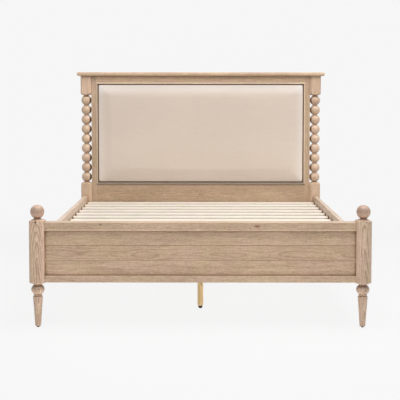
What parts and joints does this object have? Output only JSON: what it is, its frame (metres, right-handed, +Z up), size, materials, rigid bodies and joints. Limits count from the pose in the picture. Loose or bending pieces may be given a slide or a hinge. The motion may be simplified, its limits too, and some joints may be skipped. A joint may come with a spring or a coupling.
{
  "type": "spindle bed",
  "caption": "Bed frame with bead-turned headboard posts, an upholstered headboard panel, a low panelled footboard with ball finials and a slatted deck.",
  "frame": {"origin": "on the floor, in the middle of the bed's length and width", "axes": "+X to the right seen from the foot end, +Y from the foot to the head, +Z up"},
  "size_m": [1.674, 2.187, 1.258],
  "materials": {
    "washed_oak": "pale washed oak under a matt clear coat",
    "slat_pine": "planed pale softwood, unfinished",
    "leg_pine": "turned yellow pine, thin clear coat",
    "plywood": "sanded plywood",
    "beech": "plain turned beech",
    "linen": "plain weave linen-look upholstery fabric",
    "black_plastic": "moulded black plastic",
    "bracket_steel": "black powder coat",
    "zinc_steel": "bright zinc plate"
  },
  "bodies": {
    "bed_frame": {"beam_pocket_foot": "bracket_steel", "beam_pocket_head": "bracket_steel", "bracket_bolts": "zinc_steel", "bracket_screws": "zinc_steel", "centre_beam": "slat_pine", "centre_leg_1": "leg_pine", "centre_leg_2": "leg_pine", "centre_leg_3": "leg_pine", "centre_leg_bolts": "zinc_steel", "corner_glides": "black_plastic", "finial_left": "washed_oak", "finial_right": "washed_oak", "finial_screws": "zinc_steel", "foot_bottom_rail": "washed_oak", "foot_panel_board_1": "washed_oak", "foot_panel_board_2": "washed_oak", "foot_panel_board_3": "washed_oak", "foot_post_left": "washed_oak", "foot_post_right": "washed_oak", "foot_top_rail": "washed_oak", "head_bottom_rail": "washed_oak", "head_post_left": "washed_oak", "head_post_right": "washed_oak", "head_stile_left": "washed_oak", "head_stile_right": "washed_oak", "head_top_rail": "washed_oak", "headboard_cap": "washed_oak", "headboard_dowels": "beech", "headboard_rear_cover": "plywood", "panel_backing_board": "plywood", "panel_moulding_bottom": "washed_oak", "panel_moulding_left": "washed_oak", "panel_moulding_right": "washed_oak", "panel_moulding_top": "washed_oak", "rail_brackets": "bracket_steel", "rear_cover_screws": "zinc_steel", "side_rail_left": "washed_oak", "side_rail_right": "washed_oak", "slat_01": "slat_pine", "slat_02": "slat_pine", "slat_03": "slat_pine", "slat_04": "slat_pine", "slat_05": "slat_pine", "slat_06": "slat_pine", "slat_07": "slat_pine", "slat_08": "slat_pine", "slat_09": "slat_pine", "slat_10": "slat_pine", "slat_11": "slat_pine", "slat_12": "slat_pine", "slat_13": "slat_pine", "slat_and_ledge_screws": "zinc_steel", "slat_ledge_left": "slat_pine", "slat_ledge_right": "slat_pine", "threaded_inserts": "zinc_steel", "upholstered_panel": "linen"},
    "foot_1": {"levelling_foot_1": "black_plastic"},
    "foot_2": {"levelling_foot_2": "black_plastic"},
    "foot_3": {"levelling_foot_3": "black_plastic"}
  },
  "joints": [
    {"name": "foot_1_adjust", "type": "slide", "parent": "bed_frame", "child": "foot_1", "axis": [0, 0, -1], "range_m": [0, 0.012]},
    {"name": "foot_2_adjust", "type": "slide", "parent": "bed_frame", "child": "foot_2", "axis": [0, 0, -1], "range_m": [0, 0.012]},
    {"name": "foot_3_adjust", "type": "slide", "parent": "bed_frame", "child": "foot_3", "axis": [0, 0, -1], "range_m": [0, 0.012]}
  ]
}
